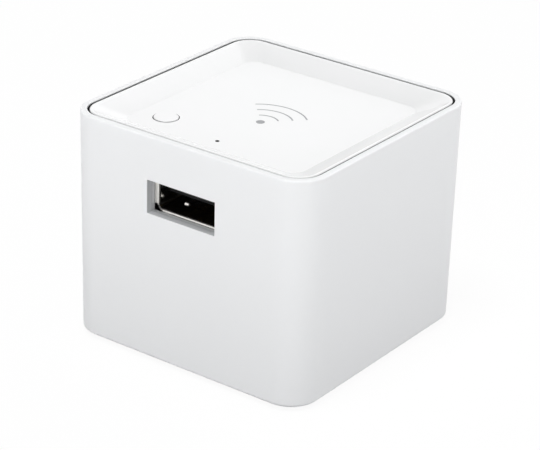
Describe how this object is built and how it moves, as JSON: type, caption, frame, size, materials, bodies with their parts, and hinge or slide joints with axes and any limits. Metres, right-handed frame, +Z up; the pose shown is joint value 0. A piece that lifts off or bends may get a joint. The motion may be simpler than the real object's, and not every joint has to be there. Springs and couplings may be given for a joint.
{
  "type": "internet of things gateway",
  "caption": "Small white cube gateway with a dished cover, a flush push button, a status light pinhole, a USB-A socket in front and network and power sockets behind.",
  "frame": {"origin": "under the middle of the housing, level with the soles of the feet", "axes": "+Z up out of the dished cover, front with the USB-A socket at -Y, network and power sockets at +Y, +X to the right seen from the front"},
  "size_m": [0.05, 0.05, 0.042],
  "materials": {
    "shell_plastic": "satin moulded white",
    "cover_plastic": "smooth moulded white",
    "button_plastic": "smooth moulded white",
    "clear_plastic": "clear moulded",
    "foot_rubber": "matte",
    "screw_steel": "zinc plated",
    "board_laminate": "solder mask",
    "socket_steel": "nickel plated sheet",
    "socket_plastic": "moulded black",
    "contact_gold": "gold flashed",
    "switch_steel": "stamped",
    "plunger_plastic": "moulded black",
    "led_resin": "clear resin",
    "chip_resin": "moulded epoxy",
    "pad_silicone": "soft pad",
    "sink_aluminium": "extruded",
    "inductor_ferrite": "pressed powder",
    "capacitor_can": "drawn can",
    "crystal_steel": "drawn can",
    "antenna_ceramic": "fired"
  },
  "bodies": {
    "housing": {"case_screws": "screw_steel", "clock_crystal": "crystal_steel", "filter_capacitors": "capacitor_can", "flash_chip": "chip_resin", "foot_front_left": "foot_rubber", "foot_front_right": "foot_rubber", "foot_rear_left": "foot_rubber", "foot_rear_right": "foot_rubber", "header_base": "socket_plastic", "header_pins": "contact_gold", "header_socket": "socket_plastic", "heat_sink": "sink_aluminium", "jack_contacts": "contact_gold", "jack_housing": "socket_plastic", "jack_shield": "socket_steel", "light_guide": "clear_plastic", "lower_board": "board_laminate", "memory_chip": "chip_resin", "network_chip": "chip_resin", "network_transformer": "chip_resin", "outer_shell": "shell_plastic", "power_inductor": "inductor_ferrite", "power_inlet_contacts": "contact_gold", "power_inlet_insert": "socket_plastic", "power_inlet_shell": "socket_steel", "processor": "chip_resin", "radio_antenna": "antenna_ceramic", "radio_board": "board_laminate", "radio_chip": "chip_resin", "radio_shield": "socket_steel", "status_led": "led_resin", "strip_antenna": "switch_steel", "switch_base": "socket_plastic", "switch_dome": "switch_steel", "switch_plate": "switch_steel", "switch_terminals": "switch_steel", "thermal_pad": "pad_silicone", "top_cover": "cover_plastic", "upper_board": "board_laminate", "upper_board_screws": "screw_steel", "usb_socket_contacts": "contact_gold", "usb_socket_shell": "socket_steel", "usb_socket_tongue": "socket_plastic", "voltage_regulator": "chip_resin"},
    "button": {"button_cap": "button_plastic", "switch_plunger": "plunger_plastic"}
  },
  "joints": [
    {"name": "button_press", "type": "slide", "parent": "housing", "child": "button", "axis": [0, 0, -1], "range_m": [0, 0.00025], "stiffness_N_per_m": 4000, "deforming": ["switch_dome"]}
  ]
}
